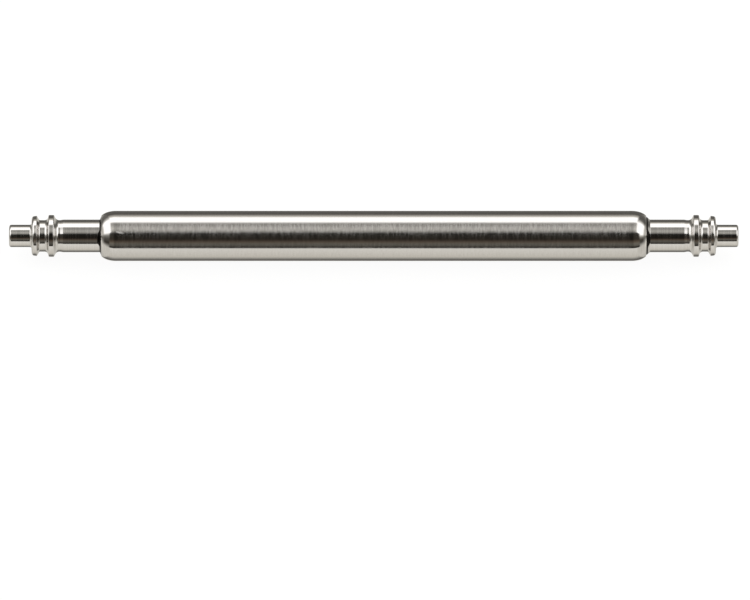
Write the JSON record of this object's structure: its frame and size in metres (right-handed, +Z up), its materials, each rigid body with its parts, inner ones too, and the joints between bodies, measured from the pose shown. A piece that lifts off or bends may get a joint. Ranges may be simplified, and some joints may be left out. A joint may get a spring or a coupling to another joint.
{
  "type": "spring bar",
  "caption": "Sprung watch bar: a thin tube with rolled ends, and at each end a double-flanged plunger with a plain tip that springs into a lug hole.",
  "frame": {"origin": "middle of the bar, on its axis", "axes": "+X along the bar towards the right tip, +Z up"},
  "size_m": [0.026, 0.0018, 0.0018],
  "materials": {
    "tube_steel": "bright, finely brushed round the tube, with polished rolled ends",
    "plunger_steel": "turned and polished bright",
    "spring_steel": "drawn spring wire"
  },
  "bodies": {
    "tube": {"tube": "tube_steel"},
    "core": {"spring": "spring_steel"},
    "left": {"left_plunger": "plunger_steel"},
    "right": {"right_plunger": "plunger_steel"}
  },
  "joints": [
    {"name": "tube_turn", "type": "hinge", "parent": "tube", "child": "core", "pos_m": [0, 0, 0], "axis": [1, 0, 0], "continuous": true},
    {"name": "left_slide", "type": "slide", "parent": "core", "child": "left", "axis": [1, 0, 0], "range_m": [0, 0.0016], "stiffness_N_per_m": 550, "springref_m": -0.004, "deforming": ["spring"]},
    {"name": "right_slide", "type": "slide", "parent": "core", "child": "right", "axis": [-1, 0, 0], "range_m": [0, 0.0016], "stiffness_N_per_m": 550, "springref_m": -0.004, "deforming": ["spring"]}
  ]
}
